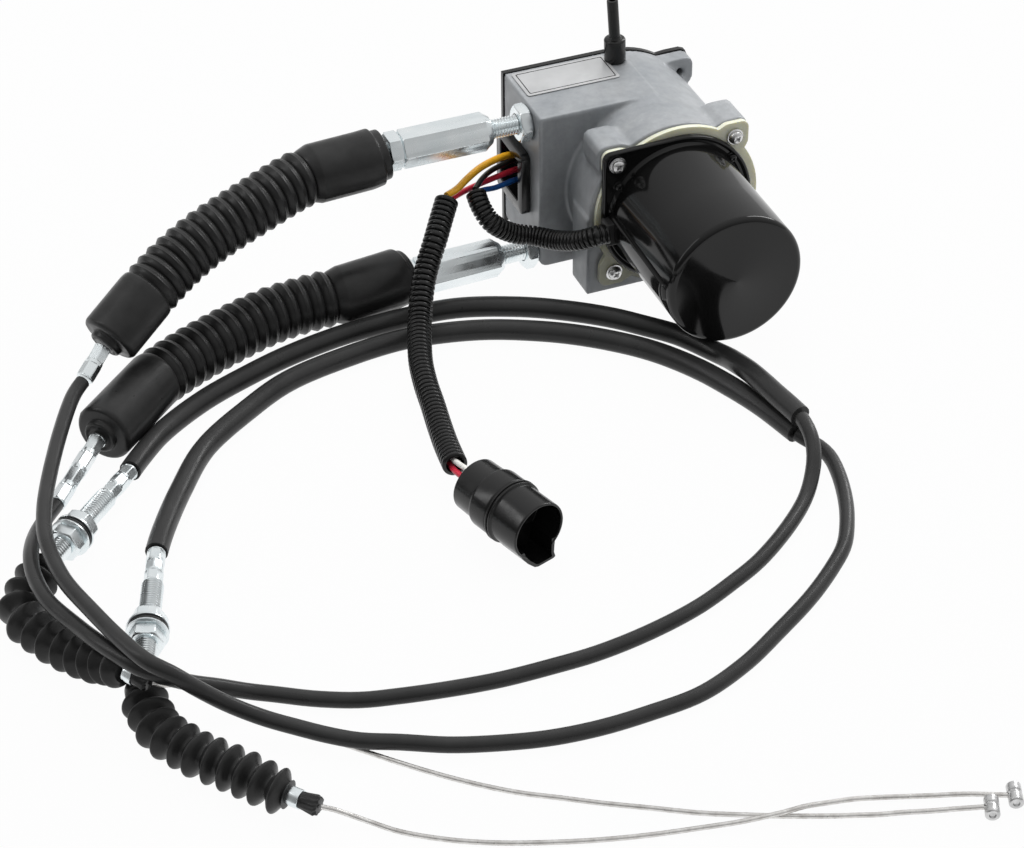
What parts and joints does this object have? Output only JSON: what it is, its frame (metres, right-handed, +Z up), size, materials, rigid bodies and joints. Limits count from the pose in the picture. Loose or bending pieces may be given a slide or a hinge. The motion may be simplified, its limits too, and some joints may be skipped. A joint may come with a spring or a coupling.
{
  "type": "throttle motor",
  "caption": "Geared motor on a cast housing that pulls throttle cables; adjustable outlets with rubber boots, long jacketed cables with bellows ends, and a wiring harness with a plug.",
  "frame": {"origin": "on the bottom face of the housing foot, below the motor axis, halfway through the depth of the foot", "axes": "+Z up, the motor axis runs along Y and the motor points to -Y, the cable outlets leave the housing towards -X"},
  "size_m": [0.4218, 0.4792, 0.1227],
  "materials": {
    "cast_aluminium": "matte cast",
    "bright_zinc": "bright zinc plating",
    "steel": "plain",
    "wire_steel": "stranded wire",
    "gloss_black_paint": "gloss black",
    "black_plastic": "satin black",
    "black_rubber": "matte moulded",
    "cable_jacket": "satin black jacket",
    "cream_nylon": "cream, slightly see-through",
    "bare_plate": "satin, bare",
    "magnet": "ferrite",
    "gear_nylon": "natural",
    "yellow_wire": "insulation",
    "red_wire": "insulation",
    "blue_wire": "insulation",
    "black_wire": "insulation",
    "white_wire": "insulation"
  },
  "bodies": {
    "motor_unit": {"adjuster_rod_a": "bright_zinc", "adjuster_rod_b": "bright_zinc", "bellows_a": "black_rubber", "bellows_b": "black_rubber", "boot_a": "black_rubber", "boot_b": "black_rubber", "boot_ferrule_a": "bright_zinc", "boot_ferrule_b": "bright_zinc", "conduit_a": "cable_jacket", "conduit_b": "cable_jacket", "coupling_a": "bright_zinc", "coupling_b": "bright_zinc", "cover_screw_1": "steel", "cover_screw_2": "steel", "cover_screw_3": "steel", "cover_screw_4": "steel", "drum_wire_a": "wire_steel", "drum_wire_b": "wire_steel", "end_fitting_a": "bright_zinc", "end_fitting_b": "bright_zinc", "end_nut_a": "bright_zinc", "end_nut_b": "bright_zinc", "end_tip_a": "black_rubber", "end_tip_b": "black_rubber", "flange_screw_1": "steel", "flange_screw_2": "steel", "flange_screw_3": "steel", "flange_screw_4": "steel", "gear_housing": "cast_aluminium", "gear_pin": "steel", "harness_tube_1": "black_plastic", "harness_tube_2": "black_plastic", "label_plate": "bare_plate", "lead_grommet": "black_rubber", "lock_nut_a": "bright_zinc", "lock_nut_b": "bright_zinc", "magnet_1": "magnet", "magnet_2": "magnet", "motor_can": "gloss_black_paint", "motor_end_plate": "steel", "nipple_a": "bright_zinc", "nipple_b": "bright_zinc", "plug": "black_plastic", "plug_wire_red": "red_wire", "plug_wire_white": "white_wire", "port_seal": "black_plastic", "rear_cover": "black_plastic", "sleeve_a": "cable_jacket", "sleeve_b": "cable_jacket", "spacer_flange": "cream_nylon", "vent_cap": "black_plastic", "wire_a": "wire_steel", "wire_b": "wire_steel", "wire_black": "black_wire", "wire_blue": "blue_wire", "wire_red": "red_wire", "wire_yellow": "yellow_wire"},
    "drum": {"drum": "gear_nylon"},
    "cluster": {"cluster_gear": "gear_nylon"},
    "rotor": {"rotor": "steel"}
  },
  "joints": [
    {"name": "rotor_turn", "type": "hinge", "parent": "motor_unit", "child": "rotor", "pos_m": [0, -0.03, 0.044], "axis": [0, 1, 0], "range_deg": [-275, 275]},
    {"name": "drum_turn", "type": "hinge", "parent": "motor_unit", "child": "drum", "pos_m": [0, 0.03, 0.044], "axis": [0, 1, 0], "range_deg": [-26, 26]},
    {"name": "cluster_turn", "type": "hinge", "parent": "motor_unit", "child": "cluster", "pos_m": [-0.028, 0.048, 0.044], "axis": [0, 1, 0], "range_deg": [-76, 76]}
  ],
  "couplings": [
    {"joint": "drum_turn", "follows": "rotor_turn", "ratio": 0.090909},
    {"joint": "cluster_turn", "follows": "rotor_turn", "ratio": -0.27273}
  ]
}
